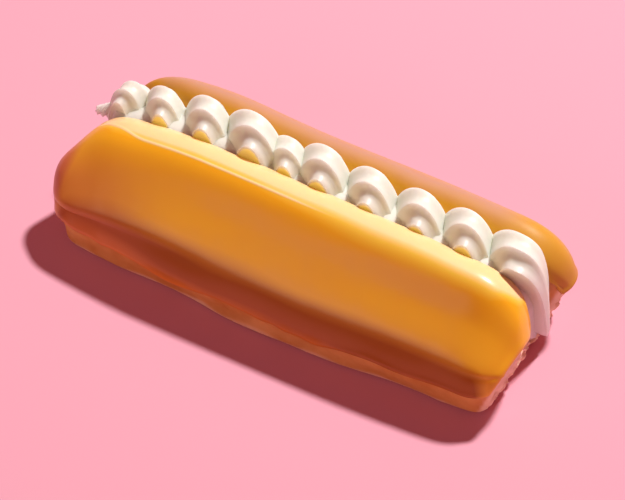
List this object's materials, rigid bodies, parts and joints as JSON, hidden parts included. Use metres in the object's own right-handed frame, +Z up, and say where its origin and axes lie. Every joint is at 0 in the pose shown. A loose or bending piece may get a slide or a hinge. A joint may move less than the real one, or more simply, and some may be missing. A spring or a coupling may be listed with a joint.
{
  "type": "custard cream eclair",
  "caption": "Long soft bun split along its top, with glossy custard icing on both halves and a piped rope of whipped cream in the split.",
  "frame": {"origin": "on the flat underside, at the middle of the bounding box", "axes": "+X along the bun towards its torn end, +Y from the wide half to the narrow half, +Z up"},
  "size_m": [0.1508, 0.0596, 0.0433],
  "materials": {
    "dough": "dull baked crust, slightly rough",
    "icing": "smooth glossy caramel and custard icing",
    "cream": "smooth soft whipped cream"
  },
  "bodies": {
    "root": {"bun": "dough", "icing_wide": "icing", "icing_narrow": "icing", "cream": "cream"}
  },
  "joints": []
}
